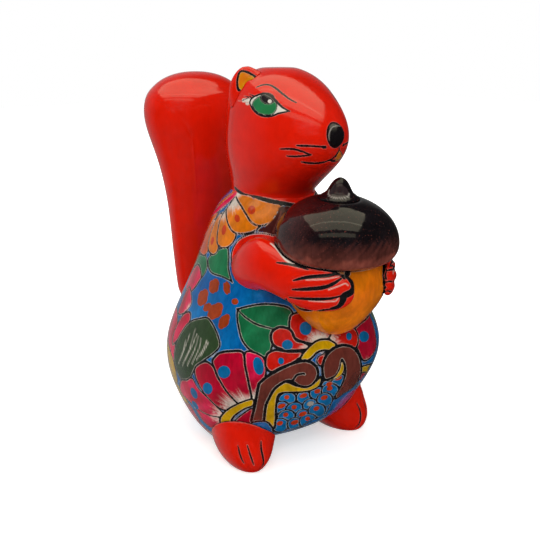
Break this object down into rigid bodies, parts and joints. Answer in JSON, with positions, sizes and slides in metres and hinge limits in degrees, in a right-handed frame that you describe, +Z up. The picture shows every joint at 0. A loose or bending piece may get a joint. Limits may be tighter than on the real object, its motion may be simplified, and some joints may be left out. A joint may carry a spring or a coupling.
{
  "type": "squirrel figurine",
  "caption": "Glazed earthenware squirrel figurine sitting upright with an acorn in its paws, a club-shaped upright tail and a hand-painted floral body on a flat base.",
  "frame": {"origin": "on the flat underside that the figurine stands on, under the axis of the body", "axes": "+Z up, the squirrel faces -Y, its own left side is +X"},
  "size_m": [0.1574, 0.2294, 0.271],
  "materials": {
    "painted_glaze": "glossy glaze over hand-painted flowers, leaves and scrolls",
    "red_glaze": "glossy red glaze",
    "orange_glaze": "glossy orange glaze",
    "brown_black_glaze": "glossy brown-black glaze, browner at the lip",
    "black_glaze": "glossy black glaze"
  },
  "bodies": {
    "root": {"body_shell": "painted_glaze", "head_shell": "red_glaze", "tail_shell": "red_glaze", "acorn_nut": "orange_glaze", "acorn_cap": "brown_black_glaze", "acorn_stem": "brown_black_glaze", "left_arm": "red_glaze", "right_arm": "red_glaze", "left_foot": "red_glaze", "right_foot": "red_glaze", "left_ear": "red_glaze", "right_ear": "red_glaze", "nose": "black_glaze"}
  },
  "joints": []
}
